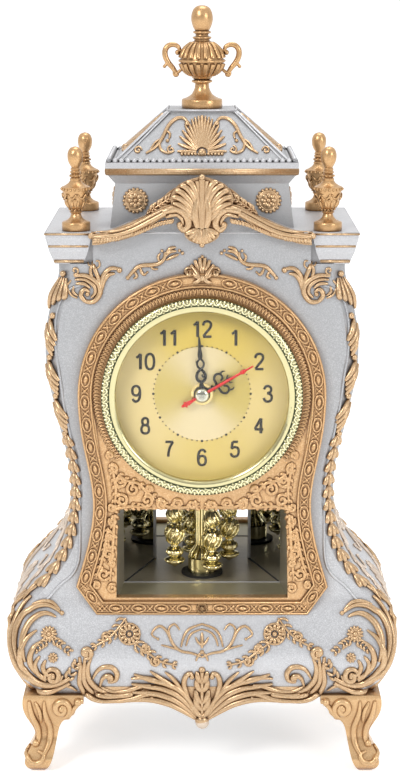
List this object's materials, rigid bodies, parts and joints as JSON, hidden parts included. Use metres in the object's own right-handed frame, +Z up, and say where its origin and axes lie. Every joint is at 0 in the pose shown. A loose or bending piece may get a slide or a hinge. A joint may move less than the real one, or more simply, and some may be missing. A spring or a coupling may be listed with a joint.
{
  "type": "table clock",
  "caption": "Ornate waisted table clock on cabriole feet, with a round dial over a mirror-lined window and a rotating pendulum.",
  "frame": {"origin": "on the table, at the middle of the clock's bounding box", "axes": "+X to the right seen from the front, the dial faces -Y, +Z up"},
  "size_m": [0.2022, 0.1132, 0.39],
  "materials": {
    "silver_shell": "pearl silver paint",
    "copper_gold": "rubbed copper-gold paint",
    "metallised_gold": "vacuum-metallised pale gold",
    "clear_lens": "clear",
    "dial_gold": "printed gold with a soft sheen",
    "hand_black": "satin black",
    "hand_red": "satin red",
    "mirror": "silvered",
    "dark_sheet": "brushed dark grey",
    "black_rubber": "matt",
    "movement_plastic": "moulded",
    "wheel_plastic": "moulded",
    "steel": "plain",
    "brass": "plain",
    "copper_coil": "enamelled winding",
    "board_green": "coated",
    "cell_sleeve": "plain sleeve"
  },
  "bodies": {
    "case": {"front_shell": "silver_shell", "rear_shell": "silver_shell", "hinge_pins": "steel", "case_screws": "steel", "bottom_plate": "movement_plastic", "feet": "copper_gold", "foot_screws": "steel", "top_platform": "silver_shell", "corner_capitals": "silver_shell", "attic": "silver_shell", "cornice": "silver_shell", "roof": "silver_shell", "urn_finial": "copper_gold", "urn_handles": "copper_gold", "corner_finials": "copper_gold", "pediment_moulding": "copper_gold", "crest_shell": "copper_gold", "dial_frame": "copper_gold", "corner_garlands": "copper_gold", "corner_scrolls": "copper_gold", "apron": "copper_gold", "bezel": "metallised_gold", "lens": "clear_lens", "dial_plate": "dial_gold", "fixing_nut": "brass", "movement_case": "movement_plastic", "movement_cover": "movement_plastic", "circuit_board": "board_green", "motor_coil": "copper_coil", "movement_cell": "cell_sleeve", "battery_contacts": "steel", "recess_floor": "dark_sheet", "recess_sill": "dark_sheet", "recess_ceiling": "movement_plastic", "recess_cheeks": "dark_sheet", "back_mirror": "mirror", "side_mirrors": "mirror", "pendulum_pad": "black_rubber", "pendulum_cup": "metallised_gold", "drive_case": "movement_plastic", "drive_coil": "copper_coil", "drive_cell": "cell_sleeve"},
    "second_train": {"second_hand": "hand_red", "hand_cap": "metallised_gold", "second_wheel": "wheel_plastic"},
    "minute_train": {"minute_hand": "hand_black", "minute_wheel": "wheel_plastic"},
    "hour_train": {"hour_hand": "hand_black", "hour_wheel": "wheel_plastic"},
    "third_wheel": {"third_wheel": "wheel_plastic"},
    "motion_train": {"motion_wheel": "wheel_plastic", "set_knob": "movement_plastic"},
    "idler_wheel": {"idler_wheel": "wheel_plastic"},
    "rotor": {"rotor": "steel"},
    "pendulum": {"pendulum_column": "metallised_gold", "pendulum_carrier": "metallised_gold", "pendants": "metallised_gold", "drive_magnet": "steel"},
    "rear_door": {"rear_door": "silver_shell"}
  },
  "joints": [
    {"name": "second_hand_turn", "type": "hinge", "parent": "case", "child": "second_train", "pos_m": [0, -0.045, 0.2], "axis": [0, -1, 0], "continuous": true},
    {"name": "minute_hand_turn", "type": "hinge", "parent": "case", "child": "minute_train", "pos_m": [0, -0.045, 0.2], "axis": [0, -1, 0], "continuous": true},
    {"name": "hour_hand_turn", "type": "hinge", "parent": "case", "child": "hour_train", "pos_m": [0, -0.045, 0.2], "axis": [0, -1, 0], "continuous": true},
    {"name": "third_wheel_turn", "type": "hinge", "parent": "case", "child": "third_wheel", "pos_m": [-0.0076, -0.045, 0.2], "axis": [0, -1, 0], "continuous": true},
    {"name": "set_knob_turn", "type": "hinge", "parent": "case", "child": "motion_train", "pos_m": [0.008, -0.045, 0.2], "axis": [0, -1, 0], "continuous": true},
    {"name": "idler_wheel_turn", "type": "hinge", "parent": "case", "child": "idler_wheel", "pos_m": [0, -0.045, 0.208], "axis": [0, -1, 0], "continuous": true},
    {"name": "rotor_turn", "type": "hinge", "parent": "case", "child": "rotor", "pos_m": [0, -0.045, 0.214], "axis": [0, -1, 0], "continuous": true},
    {"name": "pendulum_turn", "type": "hinge", "parent": "case", "child": "pendulum", "pos_m": [0, 0, 0.1], "axis": [0, 0, 1], "range_deg": [-180, 180]},
    {"name": "rear_door_swing", "type": "hinge", "parent": "case", "child": "rear_door", "pos_m": [-0.0398, 0.0466, 0.183], "axis": [0, 0, 1], "range_deg": [0, 110]}
  ],
  "couplings": [
    {"joint": "minute_hand_turn", "follows": "second_hand_turn", "ratio": 0.016667},
    {"joint": "hour_hand_turn", "follows": "second_hand_turn", "ratio": 0.0013889},
    {"joint": "third_wheel_turn", "follows": "second_hand_turn", "ratio": -0.13333},
    {"joint": "set_knob_turn", "follows": "second_hand_turn", "ratio": -0.0055556},
    {"joint": "idler_wheel_turn", "follows": "second_hand_turn", "ratio": -6},
    {"joint": "rotor_turn", "follows": "second_hand_turn", "ratio": 30}
  ]
}
